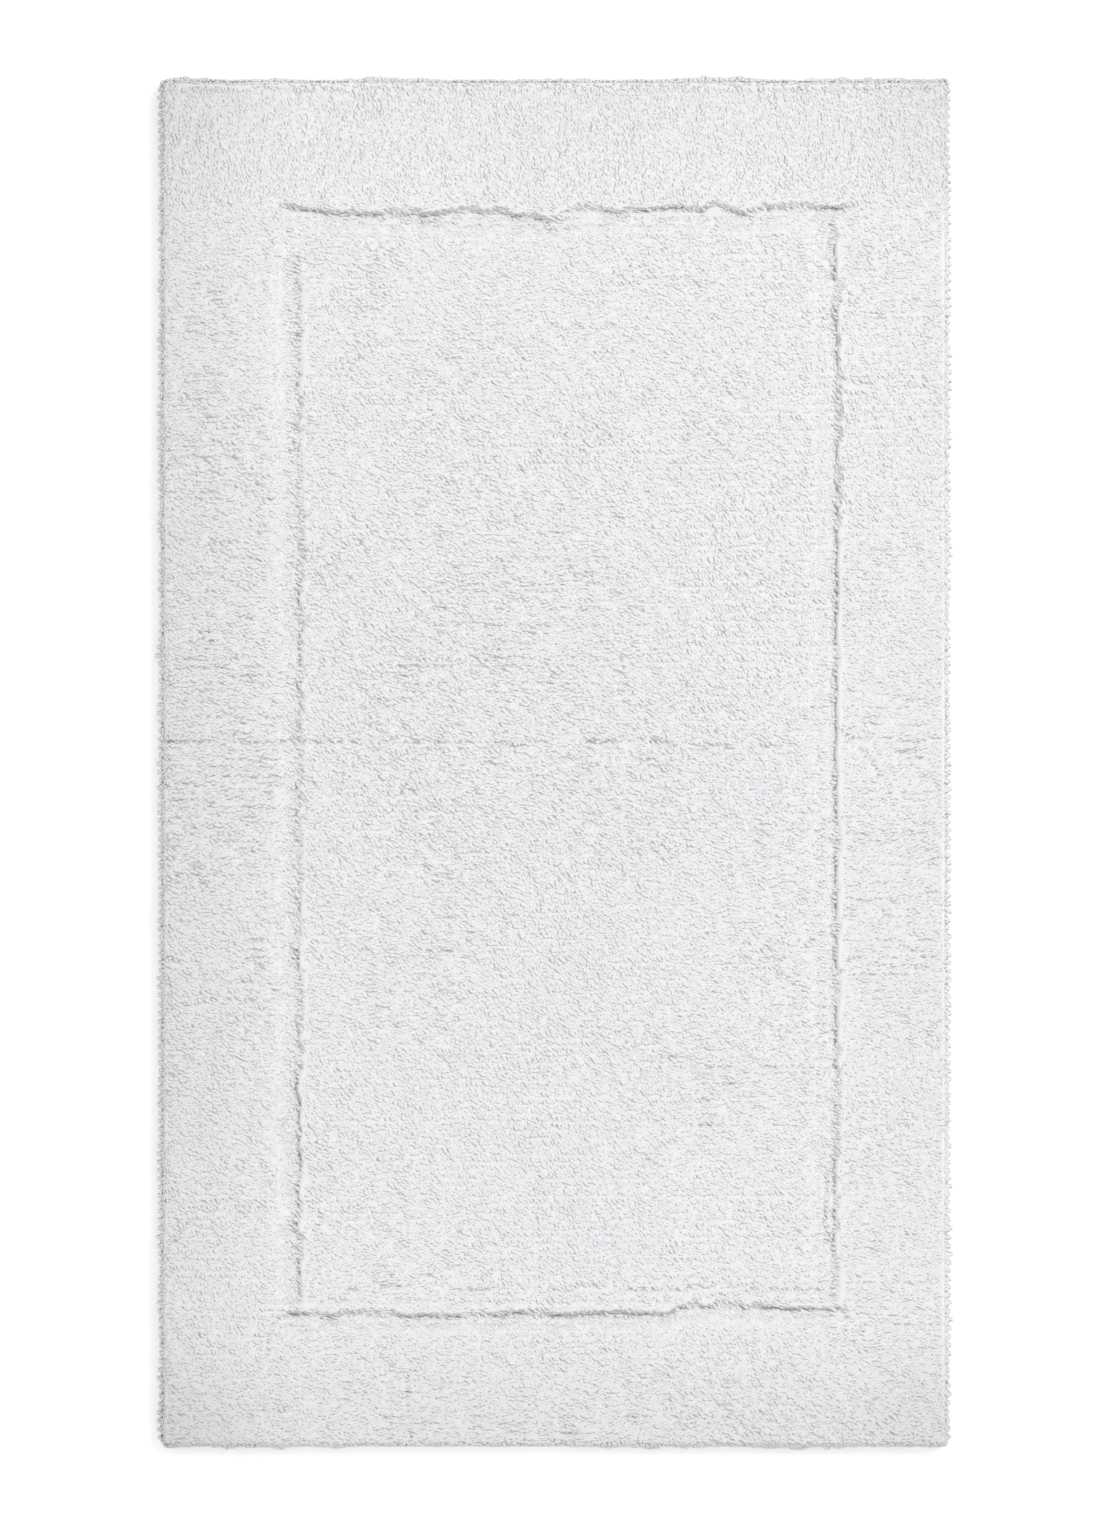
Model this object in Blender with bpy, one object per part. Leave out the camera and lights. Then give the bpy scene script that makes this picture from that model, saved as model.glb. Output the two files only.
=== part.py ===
# A cut-pile cotton bath mat: tufts in a woven backing cloth, with a latex coat underneath,
# a hem tape sewn round each edge, and a low channel in the pile that frames a centre panel.
# The mat lies on z = 0 with its centre at the origin. Its width runs along X, its length along Y.

import math

import bmesh
import bpy
from mathutils import Vector

# Driving dimensions, in metres
MAT_WIDTH = 0.692
MAT_LENGTH = 1.200
MAT_CORNER_RADIUS = 0.010

BORDER_SIDE_WIDTH = 0.1035   # border pile along the two long edges
BORDER_END_WIDTH = 0.1172    # border pile along the two short edges
CHANNEL_WIDTH = 0.014
CHANNEL_CORNER_RADIUS = 0.012

LATEX_THICKNESS = 0.0014
CLOTH_THICKNESS = 0.0008
TAPE_THICKNESS = 0.0005
THREAD_DIAMETER = 0.0005

BORDER_TOP = 0.0240          # heights of the pile above the floor
CENTRE_TOP = 0.0225
CHANNEL_TOP = 0.0160
PILE_SHOULDER = 0.0090       # how far the pile rounds down towards the channel
EDGE_SHOULDER = 0.0110       # how far the border rounds down at the mat's edge
EDGE_BELLY = 0.0090          # height at which the edge tufts reach furthest out

TAPE_INSET = 0.0040          # the pile hangs this far over the tape
TAPE_UNDER_LEG = 0.0200      # tape below the cloth
TAPE_OVER_LEG = 0.0090       # tape between the cloth and the edge tufts
THREAD_INSET = 0.0210        # the stitch row, from the mat's edge

LABEL_LENGTH = 0.0350
LABEL_WIDTH = 0.0110
LABEL_THICKNESS = 0.0004
LABEL_INSET = 0.0135         # the label's middle line, from the mat's edge

GAP = 0.0003                 # left between pieces that touch
CORNER_STEPS = 4             # straight steps in each rounded corner
SHOULDER_STEPS = 4           # straight steps in each rounded shoulder

# Heights of the layers, from the floor up
THREAD_LOW = 0.0001
TAPE_LOW = THREAD_LOW + THREAD_DIAMETER + GAP
CLOTH_LOW = LATEX_THICKNESS + GAP
CLOTH_HIGH = CLOTH_LOW + CLOTH_THICKNESS
PILE_LOW = CLOTH_HIGH + GAP
TAPE_HIGH = PILE_LOW + TAPE_THICKNESS
LABEL_LOW = TAPE_LOW - GAP - LABEL_THICKNESS

# Half sizes of the mat and of the channel's two sides
HALF_X = MAT_WIDTH / 2
HALF_Y = MAT_LENGTH / 2
CHANNEL_OUT_X = HALF_X - BORDER_SIDE_WIDTH
CHANNEL_OUT_Y = HALF_Y - BORDER_END_WIDTH
CHANNEL_IN_X = CHANNEL_OUT_X - CHANNEL_WIDTH
CHANNEL_IN_Y = CHANNEL_OUT_Y - CHANNEL_WIDTH


def clear_scene():
    for obj in list(bpy.data.objects):
        bpy.data.objects.remove(obj, do_unlink=True)


def make_material(name, colour, roughness):
    material = bpy.data.materials.new(name)
    material.use_nodes = True
    shader = material.node_tree.nodes["Principled BSDF"]
    shader.inputs["Base Color"].default_value = (*colour, 1.0)
    shader.inputs["Roughness"].default_value = roughness
    shader.inputs["Metallic"].default_value = 0.0
    material.diffuse_color = (*colour, 1.0)
    return material


def add_part(collection, name, data, material):
    data.materials.append(material)
    obj = bpy.data.objects.new(name, data)
    collection.objects.link(obj)
    return obj


def rounded_outline(half_x, half_y, radius):
    """Points of a rectangle with rounded corners, anticlockwise seen from above."""
    points = []
    for corner, (side_x, side_y) in enumerate(((1, 1), (-1, 1), (-1, -1), (1, -1))):
        for step in range(CORNER_STEPS + 1):
            angle = math.radians(90 * corner + 90 * step / CORNER_STEPS)
            points.append(Vector((
                side_x * (half_x - radius) + radius * math.cos(angle),
                side_y * (half_y - radius) + radius * math.sin(angle))))
    return points


def loft(name, loops, is_ring=False):
    """A closed mesh through loops of points. A ring joins its last loop to its first."""
    bm = bmesh.new()
    rows = [[bm.verts.new(point) for point in loop] for loop in loops]
    joined = rows + rows[:1] if is_ring else rows
    for low, high in zip(joined, joined[1:]):
        for i in range(len(low)):
            j = (i + 1) % len(low)
            bm.faces.new((low[i], low[j], high[j], high[i]))
    if not is_ring:
        bm.faces.new(rows[0])
        bm.faces.new(rows[-1])
    bmesh.ops.recalc_face_normals(bm, faces=bm.faces)
    mesh = bpy.data.meshes.new(name)
    bm.to_mesh(mesh)
    bm.free()
    return mesh


def pile_mesh(name, sections, is_ring=False):
    """A pile zone lofted through level outlines, each (half_x, half_y, corner radius, height)."""
    loops = [[(p.x, p.y, height) for p in rounded_outline(half_x, half_y, radius)]
             for half_x, half_y, radius, height in sections]
    mesh = loft(name, loops, is_ring)
    mesh.shade_smooth()
    mesh.set_sharp_from_angle(angle=math.radians(40))
    return mesh


def shoulder(reach, low, high):
    """Steps (inset, height) of a quarter round that starts upright at low and ends level at high."""
    steps = []
    for step in range(SHOULDER_STEPS + 1):
        angle = math.radians(90 * step / SHOULDER_STEPS)
        steps.append((reach * (1 - math.cos(angle)), low + (high - low) * math.sin(angle)))
    return steps


def make_centre_pile(collection, material):
    half_x = CHANNEL_IN_X - GAP
    half_y = CHANNEL_IN_Y - GAP
    sections = [(half_x, half_y, CHANNEL_CORNER_RADIUS, PILE_LOW)]
    for inset, height in shoulder(PILE_SHOULDER, CHANNEL_TOP, CENTRE_TOP):
        sections.append((half_x - inset, half_y - inset, CHANNEL_CORNER_RADIUS, height))
    add_part(collection, "centre_pile", pile_mesh("centre_pile", sections), material)


def make_channel_pile(collection, material):
    ring = []
    for half_x, half_y, heights in ((CHANNEL_OUT_X, CHANNEL_OUT_Y, (PILE_LOW, CHANNEL_TOP)),
                                    (CHANNEL_IN_X, CHANNEL_IN_Y, (CHANNEL_TOP, PILE_LOW))):
        ring += [(half_x, half_y, CHANNEL_CORNER_RADIUS, height) for height in heights]
    add_part(collection, "channel_pile", pile_mesh("channel_pile", ring, is_ring=True), material)


def make_border_pile(collection, material):
    """A ring whose section runs from its foot at the edge, up, across and down into the channel."""
    over_tape = TAPE_HIGH + GAP
    tape_end = TAPE_INSET + TAPE_OVER_LEG + GAP
    profile = [(TAPE_INSET - GAP, over_tape), (0.0, EDGE_BELLY)]
    profile += shoulder(EDGE_SHOULDER, EDGE_BELLY + 0.003, BORDER_TOP)
    sections = [(HALF_X - inset, HALF_Y - inset, MAT_CORNER_RADIUS, height) for inset, height in profile]
    in_x = CHANNEL_OUT_X + GAP
    in_y = CHANNEL_OUT_Y + GAP
    for inset, height in reversed(shoulder(PILE_SHOULDER, CHANNEL_TOP, BORDER_TOP)):
        sections.append((in_x + inset, in_y + inset, CHANNEL_CORNER_RADIUS, height))
    sections.append((in_x, in_y, CHANNEL_CORNER_RADIUS, PILE_LOW))
    for height in (PILE_LOW, over_tape):
        sections.append((HALF_X - tape_end, HALF_Y - tape_end, MAT_CORNER_RADIUS, height))
    add_part(collection, "border_pile", pile_mesh("border_pile", sections, is_ring=True), material)


def make_flat_sheet(collection, name, outline, low, high, material):
    """A flat outline filled on both sides, as thick as its two heights are apart."""
    curve = bpy.data.curves.new(name, "CURVE")
    curve.dimensions = "2D"
    curve.fill_mode = "BOTH"
    curve.extrude = (high - low) / 2
    spline = curve.splines.new("POLY")
    spline.points.add(len(outline) - 1)
    for point, corner in zip(spline.points, outline):
        point.co = (corner.x, corner.y, 0.0, 1.0)
    spline.use_cyclic_u = True
    sheet = add_part(collection, name, curve, material)
    sheet.location.z = (low + high) / 2
    return sheet


def make_backing_cloth(collection, material):
    inset = TAPE_INSET + TAPE_THICKNESS + GAP
    outline = rounded_outline(HALF_X - inset, HALF_Y - inset, MAT_CORNER_RADIUS / 4)
    make_flat_sheet(collection, "backing_cloth", outline, CLOTH_LOW, CLOTH_HIGH, material)


def make_latex_backing(collection, material):
    inset = TAPE_INSET + TAPE_UNDER_LEG + GAP
    outline = rounded_outline(HALF_X - inset, HALF_Y - inset, MAT_CORNER_RADIUS / 2)
    make_flat_sheet(collection, "latex_backing", outline, 0.0, LATEX_THICKNESS, material)


def tape_profile():
    """The tape's section as (inset, height): a U on its side that opens towards the mat's middle."""
    fold_in = TAPE_INSET + TAPE_THICKNESS
    under_end = TAPE_INSET + TAPE_UNDER_LEG
    over_end = TAPE_INSET + TAPE_OVER_LEG
    under_top = TAPE_LOW + TAPE_THICKNESS
    return [(under_end, TAPE_LOW), (TAPE_INSET, TAPE_LOW), (TAPE_INSET, TAPE_HIGH),
            (over_end, TAPE_HIGH), (over_end, PILE_LOW), (fold_in, PILE_LOW),
            (fold_in, under_top), (under_end, under_top)]


def make_hem_tape(collection, name, half_run, half_reach, material):
    """A tape along the mat's +X edge, cut to a mitre at both ends."""
    mitre_shift = GAP / math.sqrt(2)
    loops = [[(half_reach - inset, end * (half_run - inset - mitre_shift), height)
              for inset, height in tape_profile()] for end in (-1, 1)]
    return add_part(collection, name, loft(name, loops), material)


def make_hem_thread(collection, name, half_run, half_reach, material):
    """A stitch row under the tape of the +X edge: a thread that stops short of its neighbours."""
    curve = bpy.data.curves.new(name, "CURVE")
    curve.dimensions = "3D"
    curve.bevel_depth = THREAD_DIAMETER / 2
    curve.bevel_resolution = 2
    curve.use_fill_caps = True
    spline = curve.splines.new("POLY")
    spline.points.add(1)
    half_length = half_run - THREAD_INSET - THREAD_DIAMETER - GAP
    for point, end in zip(spline.points, (-1, 1)):
        point.co = (half_reach - THREAD_INSET, end * half_length, 0.0, 1.0)
    thread = add_part(collection, name, curve, material)
    thread.location.z = THREAD_LOW + THREAD_DIAMETER / 2
    return thread


def make_hems(collection, tape_material, thread_material):
    """A tape and its stitch row on each edge, built on the +X side and turned into place."""
    edges = (("right", HALF_Y, HALF_X, 0), ("back", HALF_X, HALF_Y, 90),
             ("left", HALF_Y, HALF_X, 180), ("front", HALF_X, HALF_Y, 270))
    for side, half_run, half_reach, angle in edges:
        tape = make_hem_tape(collection, "hem_tape_" + side, half_run, half_reach, tape_material)
        thread = make_hem_thread(collection, "hem_thread_" + side, half_run, half_reach, thread_material)
        for piece in (tape, thread):
            piece.rotation_euler.z = math.radians(angle)


def make_care_label(collection, material):
    """A small blank label, flat on the underside of the front tape."""
    half_x = LABEL_LENGTH / 2
    half_y = LABEL_WIDTH / 2
    outline = [Vector((x, y)) for x, y in
               ((-half_x, -half_y), (half_x, -half_y), (half_x, half_y), (-half_x, half_y))]
    label = make_flat_sheet(collection, "care_label", outline, LABEL_LOW, LABEL_LOW + LABEL_THICKNESS, material)
    label.location.y = LABEL_INSET - HALF_Y


def main():
    clear_scene()
    collection = bpy.data.collections.new("bath_mat")
    bpy.context.scene.collection.children.link(collection)

    pile = make_material("white cotton pile", (0.86, 0.86, 0.87), 0.95)
    cloth = make_material("natural woven cloth", (0.78, 0.76, 0.71), 0.90)
    latex = make_material("off-white latex", (0.80, 0.79, 0.75), 0.60)
    tape = make_material("white cotton tape", (0.83, 0.83, 0.82), 0.88)
    thread = make_material("white sewing thread", (0.88, 0.88, 0.87), 0.55)
    label = make_material("white satin label", (0.90, 0.90, 0.90), 0.45)

    make_backing_cloth(collection, cloth)
    make_latex_backing(collection, latex)
    make_centre_pile(collection, pile)
    make_channel_pile(collection, pile)
    make_border_pile(collection, pile)
    make_hems(collection, tape, thread)
    make_care_label(collection, label)


main()
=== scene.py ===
import math
import bpy
import numpy as np
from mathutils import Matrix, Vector


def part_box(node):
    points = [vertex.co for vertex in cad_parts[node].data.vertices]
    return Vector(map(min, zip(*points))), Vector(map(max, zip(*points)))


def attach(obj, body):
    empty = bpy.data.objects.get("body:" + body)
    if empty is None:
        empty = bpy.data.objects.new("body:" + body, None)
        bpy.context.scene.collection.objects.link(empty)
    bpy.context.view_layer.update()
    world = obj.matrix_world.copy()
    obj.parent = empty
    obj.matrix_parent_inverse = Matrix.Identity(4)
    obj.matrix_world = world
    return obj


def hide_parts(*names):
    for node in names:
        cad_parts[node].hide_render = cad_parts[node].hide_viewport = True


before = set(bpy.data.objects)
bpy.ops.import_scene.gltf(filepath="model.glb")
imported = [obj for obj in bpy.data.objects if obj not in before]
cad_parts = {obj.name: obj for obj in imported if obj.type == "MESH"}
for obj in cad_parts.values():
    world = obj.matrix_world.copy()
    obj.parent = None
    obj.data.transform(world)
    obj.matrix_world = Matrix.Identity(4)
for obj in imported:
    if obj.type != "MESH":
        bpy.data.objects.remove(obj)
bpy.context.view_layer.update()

# where the frame puts the layers
halfX, halfY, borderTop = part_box("border_pile")[1]
outX, outY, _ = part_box("channel_pile")[1]
inX, inY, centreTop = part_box("centre_pile")[1]
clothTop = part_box("backing_cloth")[1].z
mm = 0.001
noiseCells = 256   # the noise repeats after this many cells


def smoothNoise(seed, x, y, scale):
    # even noise between -1 and 1, in cells of the given size
    grid = np.random.default_rng(seed).random((noiseCells + 1, noiseCells + 1)) * 2 - 1
    u, v = x / scale + noiseCells / 2, y / scale + noiseCells / 2
    i, j = np.floor(u).astype(int), np.floor(v).astype(int)
    fu, fv = ease(u - i), ease(v - j)
    i, j = i % noiseCells, j % noiseCells
    low = grid[j, i] * (1 - fu) + grid[j, i + 1] * fu
    high = grid[j + 1, i] * (1 - fu) + grid[j + 1, i + 1] * fu
    return low * (1 - fv) + high * fv


def ease(t):
    t = np.clip(t, 0, 1)
    return t * t * (3 - 2 * t)


def mix(a, b, t):
    return a * (1 - t) + b * t


def patchNoise(seed, x, y, scale):
    return 0.5 + 0.5 * smoothNoise(seed, x, y, scale)


def hump(distance, width):
    # 1 in the middle, falling away smoothly within the width
    return np.exp(-(distance / width) ** 2)


comb = {
    "angle": -26,   # the pile lies towards the right and the front, in degrees
    "wander": (26, 12),   # how far it swings, over a long and a short distance
    "wanderSpan": (0.15, 0.045),
    "backAngle": -80,   # the back border lies straight down
    "backWander": (14, 0.06),
    "leftAngle": -8,   # the middle of the left border lies sideways
    "leftWander": (12, 0.05),
    "leftMiddle": (-0.02, 0.22),   # where that part has its middle, and how far it reaches
    "change": 0.03,   # the pile turns from one way to the next within this distance
}


def combAngle(x, y):
    angle = comb["angle"]
    for seed, wander, span in zip((31, 32), comb["wander"], comb["wanderSpan"]):
        angle = angle + wander * smoothNoise(seed, x, y, span)
    wander, span = comb["backWander"]
    backAngle = comb["backAngle"] + wander * smoothNoise(33, x, y, span)
    angle = mix(angle, backAngle, ease((y - outY) / comb["change"]))
    wander, span = comb["leftWander"]
    leftAngle = comb["leftAngle"] + wander * smoothNoise(34, x, y, span)
    middle, reach = comb["leftMiddle"]
    leftMiddle = ease((-x - inX) / comb["change"]) * hump(y - middle, reach)
    return np.radians(mix(angle, leftAngle, leftMiddle))


# The carved channel closes up to a valley with an uneven parting line along each side.
# Places are in millimetres from the middle of the mat: (along the line, across it).
valley = {
    "depth": 4.3 * mm,
    "parting": 2.2 * mm,   # extra depth of the bed below an open parting
    "partingWidth": 1.2 * mm,
    "shut": (8 * mm, 0.78),   # width of the steep bank and share of the depth where the line has closed
    "clearance": 1.0 * mm,   # tips stay about this far from an open parting
    "keeps": (-0.3, 1.7),   # least and most of the clearance that a tuft keeps
    "crosses": (0.14, -3),   # share of the tufts that lie across the line, and how far
    "felt": 0.016,   # a parting moves no tuft further off than this
    "wobbleSpans": (0.009, 0.035),
    "patchSpans": (0.011, 0.05),   # lengths over which a line opens and closes
    "softness": 0.26,
    "endFade": 0.010,   # a parting closes up over this length at its ends
    "endSlope": 0.024,   # and the valley runs out over this length
    # a line runs along axis 0 or 1, with its gentle bank on the left or the front and then its steep one
    "sides": {
        "left": {"runs": 1, "seed": 81, "banks": (26 * mm, 2.6 * mm),
                 "wobble": 1.8 * mm, "gap": 0.1 * mm, "closed": 0.60,
                 "path": [(-476, -226), (-300, -225), (-60, -226), (200, -224), (330, -226), (440, -226)]},
        "right": {"runs": 1, "seed": 82, "banks": (24 * mm, 3.0 * mm),
                  "wobble": 0.8 * mm, "gap": 0.05 * mm, "closed": 0.43,
                  "path": [(-474, 244), (-300, 246), (0, 246), (330, 247), (420, 246), (480, 243)]},
        "back": {"runs": 0, "seed": 83, "banks": (22 * mm, 2.6 * mm),
                 "wobble": 0.9 * mm, "gap": 0.4 * mm, "closed": 0.40,
                 "path": [(-243, 489), (-195, 482), (-115, 481), (-53, 484), (0, 475), (18, 485), (64, 483),
                          (108, 488), (128, 483), (137, 490), (166, 481), (190, 488), (257, 486)]},
        "front": {"runs": 0, "seed": 84, "banks": (18 * mm, 2.8 * mm),
                  "wobble": 0.7 * mm, "gap": 0.45 * mm, "closed": 0.36,
                  "path": [(-240, -482), (-184, -484), (-58, -485), (-30, -481), (0, -484), (57, -481),
                           (100, -484), (110, -477), (180, -477), (250, -480)]},
    },
}
marks = {
    "width": 0.0018,
    "reach": 0.012,   # beyond this a mark isn't felt
    "waver": (0.0010, 0.0014, 0.0030),   # sideways, lengthways, and lengthways over the longer span
    "waverSpans": (0.010, 0.035),
    "patchSpan": 0.016,
    "softness": 0.2,
    # marks of folding and storage, in millimetres: places (x, y), the depth, and how much has closed
    "lines": [
        ([(-346, 17), (-240, 19), (-150, 17), (-90, 19), (-40, 16), (40, 20), (130, 15), (200, 17)],
         2.2, 0.36),
        ([(-196, -462), (-100, -460), (-20, -462), (60, -461), (130, -461), (147, -458), (232, -462)],
         1.5, 0.40),
        ([(-120, 476), (-60, 473), (0, 469), (60, 471), (120, 473)], 1.2, 0.45),
        ([(240, -330), (238, -380), (239, -420)], 1.3, 0.30),
        ([(247, 33), (262, 18), (278, 2), (294, -22)], 1.7, 0.15),
        ([(262, 22), (300, 18), (340, 20)], 1.0, 0.25),
        ([(247, 338), (262, 333), (282, 336)], 1.6, 0.10),
        ([(248, -478), (262, -492), (270, -500)], 1.4, 0.10),
        ([(-238, -483), (-250, -500), (-252, -520)], 0.9, 0.20),
        ([(-74, -15), (-40, -70), (5, -155)], 0.9, 0.40),
        ([(-345, 290), (-310, 268), (-280, 240)], 1.1, 0.35),
        ([(-345, -215), (-300, -205), (-262, -212)], 1.1, 0.35),
        ([(-128, -485), (-130, -530), (-126, -595)], 0.9, 0.40),
    ],
}


def sideFrame(side, x, y):
    # how far along a side of the valley a point is, how far across it, and how far inside its ends
    along, across = (x, y) if side["runs"] == 0 else (y, x)
    s, place = np.array(side["path"], float).T * mm
    short, long = valley["wobbleSpans"]
    line = np.interp(along, s, place)
    line = line + side["wobble"] * smoothNoise(side["seed"], along, along * 0 + 0.3, short)
    line = line + 0.6 * side["wobble"] * smoothNoise(side["seed"] + 10, along, along * 0 + 0.1, long)
    reach = np.minimum(along - s[0], s[-1] - along)
    return along, across - line, reach


def partingOpen(side, along, reach):
    # 0 where the pile has closed over the line, 1 where it stays open
    short, long = valley["patchSpans"]
    patches = patchNoise(side["seed"] + 20, along, along * 0 - 0.2, short)
    patches = 0.7 * patches + 0.3 * patchNoise(side["seed"] + 30, along, along * 0, long)
    opened = ease((patches - side["closed"] + 0.1) / valley["softness"])
    return opened * ease(reach / valley["endFade"])


def valleyDepth(x, y):
    deepest = np.zeros_like(x)
    for side in valley["sides"].values():
        along, across, reach = sideFrame(side, x, y)
        opened = partingOpen(side, along, reach)
        gentle, steep = side["banks"]
        steep, share = mix(valley["shut"][0], steep, opened), mix(valley["shut"][1], 1, opened)
        bank = np.where(across < 0, -across / gentle, across / steep)
        ends = ease((reach + valley["endSlope"] / 2) / valley["endSlope"])
        deepest = np.maximum(deepest, share * (1 - ease(bank)) * ends)
    return valley["depth"] * deepest


def partingDepth(x, y):
    deepest = np.zeros_like(x)
    for side in valley["sides"].values():
        along, across, reach = sideFrame(side, x, y)
        width = side["gap"] + valley["partingWidth"]
        deepest = np.maximum(deepest, partingOpen(side, along, reach) * hump(across, width))
    return valley["parting"] * deepest


def markDepth(x, y):
    total = np.zeros_like(x)
    short, long = marks["waverSpans"]
    for number, (points, depth, closed) in enumerate(marks["lines"]):
        points = np.array(points, float) * mm
        low, high = points.min(0) - marks["reach"], points.max(0) + marks["reach"]
        near = (x > low[0]) & (x < high[0]) & (y > low[1]) & (y < high[1])
        nearX, nearY = x[near], y[near]
        px = nearX + marks["waver"][0] * smoothNoise(101 + number, nearX, nearY, short)
        py = nearY + marks["waver"][1] * smoothNoise(121 + number, nearX, nearY, short)
        py = py + marks["waver"][2] * smoothNoise(161 + number, nearX, nearY, long)
        distance = np.full(len(px), 1.0)
        for (ax, ay), (bx, by) in zip(points[:-1], points[1:]):
            runX, runY = bx - ax, by - ay
            t = np.clip(((px - ax) * runX + (py - ay) * runY) / (runX ** 2 + runY ** 2), 0, 1)
            distance = np.minimum(distance, np.hypot(px - ax - t * runX, py - ay - t * runY))
        patches = patchNoise(141 + number, px, py, marks["patchSpan"])
        opened = ease((patches - closed + 0.1) / marks["softness"])
        total[near] += depth * mm * opened * hump(distance, marks["width"])
    return total


# Fine waves that run the way the pile lies: noise drawn out along the comb.
waves = {
    "step": 1.0 * mm,   # spacing of the map of the waves
    "margin": 0.012,   # how far the map goes past the mat
    # seed, how often the noise is softened, how many steps it is drawn out each way, and its share
    "sizes": ((5, 2, 6, 1.0), (6, 6, 9, 0.7)),
}
waveLow = (-halfX - waves["margin"], -halfY - waves["margin"])


def makeWaves():
    step = waves["step"]
    nx = int(2 * (halfX + waves["margin"]) / step) + 2
    ny = int(2 * (halfY + waves["margin"]) / step) + 2
    ix, iy = np.meshgrid(np.arange(nx), np.arange(ny))
    angle = combAngle(ix * step + waveLow[0], iy * step + waveLow[1])
    total = np.zeros((ny, nx))
    for seed, softening, reach, share in waves["sizes"]:
        grain = np.random.default_rng(seed).normal(0, 1, (ny, nx))
        for _ in range(softening):
            for axis in (0, 1):
                grain = (np.roll(grain, 1, axis) + 2 * grain + np.roll(grain, -1, axis)) / 4
        drawn = np.zeros((ny, nx))
        for k in range(-reach, reach + 1):
            jx = np.clip(np.rint(ix + k * np.cos(angle)).astype(int), 0, nx - 1)
            jy = np.clip(np.rint(iy + k * np.sin(angle)).astype(int), 0, ny - 1)
            drawn += grain[jy, jx]
        total += share * drawn / drawn.std()
    return total / total.std()


waveMap = makeWaves()
print("waves of the pile drawn")


def waveHeight(x, y):
    u = np.clip((x - waveLow[0]) / waves["step"], 0, waveMap.shape[1] - 2)
    v = np.clip((y - waveLow[1]) / waves["step"], 0, waveMap.shape[0] - 2)
    i, j = u.astype(int), v.astype(int)
    fu, fv = u - i, v - j
    low = mix(waveMap[j, i], waveMap[j, i + 1], fu)
    return mix(low, mix(waveMap[j + 1, i], waveMap[j + 1, i + 1], fu), fv)


pile = {
    "rowPitch": 7.3 * mm,   # rows of tufts run across the mat
    "tipPitch": 2.45 * mm,   # cut ends along a row
    "lines": (-2.4 * mm, 0.0, 2.4 * mm),   # cut ends across a row
    "rowWander": (1.1 * mm, 0.025),   # how far a row wavers, and over what distance
    "rootJitter": (0.6 * mm, 0.45 * mm),   # along a row, and across it
    "radius": 1.9 * mm,
    "sizeJitter": (0.85, 1.15),
    "ringJitter": (0.86, 1.14),
    "flatness": (0.26, 0.15),   # thickness of a lying tuft, on the lively and on the calm pile
    "sides": 4,
    "rings": (0.20, 0.78),   # where along the tuft its two rings of points lie
    "ringSize": (1.0, 0.84),
    "rise": 2.0 * mm,   # how far a tuft's root is under the tips
    "lay": 8.0 * mm,   # how far the combed tips lie over
    "layJitter": (0.3, 0.12),   # how much that differs from place to place, and from tuft to tuft
    "standing": 5 * mm,   # a tuft that leans less than this begins to stand up, and is rounder
    "bendAt": 0.35,
    "bendInset": (0.5, -0.6),   # millimetres from the top down to a standing and to a lying tuft's bend
    "tipInset": (0.2, 0.7),   # and down to its tip
    "angleJitter": 0.22,
    "heightJitter": 0.08 * mm,
    "wave": 0.22 * mm,
    "patchy": 0.6,   # how much livelier the pile is in some places than in others
    "calm": 0.5,   # relief of the calm borders against the rest
    "rowWave": 0.38 * mm,   # each row stands a little proud along its middle
    "swell": ((51, 0.6 * mm, 0.09), (52, 0.35 * mm, 0.035)),   # seed, height and span of soft swells
    "step": 0.012,   # the panel and the border change height within this distance
    "below": 1.2 * mm,   # the crown of the pile below the frame's highest plane
    "centrePieces": 7,
    "seed": 7,
}
livelyPlaces = {
    "panel": (-0.08, 0.04), "panelReach": (0.26, 0.34),   # on the panel
    "left": -0.02, "leftReach": 0.3,   # along the left border
    "change": 0.02,
}
edge = {
    "round": 6 * mm,   # the edge rounds over within this distance
    "middle": 10 * mm,   # height where the edge reaches furthest out
    "turn": 118,   # degrees from the top of the edge down and under
    "past": 1.06,   # nothing goes further round than this share of the turn
    "lastTuft": 0.98,
    "hangs": (12, 50),   # degrees at which the tufts turn from combed to hanging
    "hangLength": 4.2 * mm,
    "corners": {(-1, 1): 1.10, (1, 1): 1.30, (-1, -1): 0.80, (1, -1): 1.02},
    "cornerShare": 0.5,   # share of the tufts that is kept in a corner
    "ragged": 3.6 * mm,
    "raggedFrom": (35, 85),   # degrees at which the ends become ragged
    "plump": 0.9 * mm,   # the pile stands a little fuller where it goes over the edge
    "gather": 0.5,   # how far the cut ends of a row draw together along the left and right edges
    "drop": 1.8 * mm,   # the border sinks towards the edge
    "dropSpan": 60 * mm,
    "aboveCloth": 1.2 * mm,
}
flatX, flatY = halfX - edge["round"], halfY - edge["round"]
edgeHeight = borderTop - pile["below"] - edge["middle"]
# the way over the edge, measured on the pile
edgeSpan = (edge["round"] + edgeHeight) / 2 * math.radians(edge["turn"])


def pileTop(x, y):
    panel = ease((outX - np.abs(x)) / pile["step"]) * ease((outY - np.abs(y)) / pile["step"])
    top = mix(borderTop, centreTop, panel) - pile["below"]
    for seed, height, span in pile["swell"]:
        top = top + height * smoothNoise(seed, x, y, span)
    rim = np.minimum(halfX - np.abs(x), halfY - np.abs(y))
    top = top - edge["drop"] * np.clip(1 - rim / edge["dropSpan"], 0, 1) ** 1.6
    return top - valleyDepth(x, y) - markDepth(x, y)


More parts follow.
